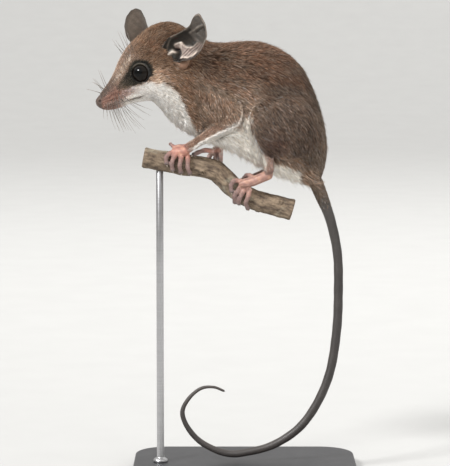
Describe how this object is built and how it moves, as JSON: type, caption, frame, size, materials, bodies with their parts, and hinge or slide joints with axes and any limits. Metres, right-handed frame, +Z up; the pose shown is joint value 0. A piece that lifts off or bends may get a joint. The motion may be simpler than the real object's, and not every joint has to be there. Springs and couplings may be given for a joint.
{
  "type": "mouse opossum",
  "caption": "Life-size still model of a mouse opossum crouched on a short cut branch, its long tail hanging in a hook, held up by a plain display stand with a flat base and a rod.",
  "frame": {"origin": "middle of the underside of the stand's base, on the surface that it stands on", "axes": "+Z up; -X where the head looks, +X towards the rump; -Y the animal's left side, which the picture shows, +Y its right side"},
  "size_m": [0.1065, 0.064, 0.1917],
  "materials": {
    "coat": "short dense brown fur, matt",
    "pale_coat": "short dense cream-white fur, matt",
    "pink_skin": "bare pink skin, soft satin",
    "ear_skin": "thin bare grey-brown skin, satin",
    "tail_skin": "finely ringed scaly skin, satin",
    "eye": "wet gloss black-brown",
    "bark": "rough grey-brown bark with pale cut ends",
    "stand_paint": "satin black paint",
    "stand_steel": "fine brushed steel"
  },
  "bodies": {
    "root": {"stand_base": "stand_paint", "stand_rod": "stand_steel", "perch": "bark", "upper_arm_left": "coat", "forearm_left": "coat", "hand_left": "pink_skin", "thigh_left": "coat", "shank_left": "coat", "foot_left": "pink_skin", "upper_arm_right": "coat", "forearm_right": "coat", "hand_right": "pink_skin", "thigh_right": "coat", "shank_right": "coat", "foot_right": "pink_skin", "tail_1": "tail_skin", "tail_2": "tail_skin", "tail_3": "tail_skin", "tail_4": "tail_skin", "tail_5": "tail_skin", "tail_6": "tail_skin", "tail_7": "tail_skin", "tail_8": "tail_skin", "nose": "pink_skin", "jaw": "pale_coat", "head": "coat", "neck": "coat", "chest": "coat", "belly": "coat", "rump": "coat", "eye_left": "eye", "eye_right": "eye", "ear_left": "ear_skin", "ear_right": "ear_skin"}
  },
  "joints": []
}
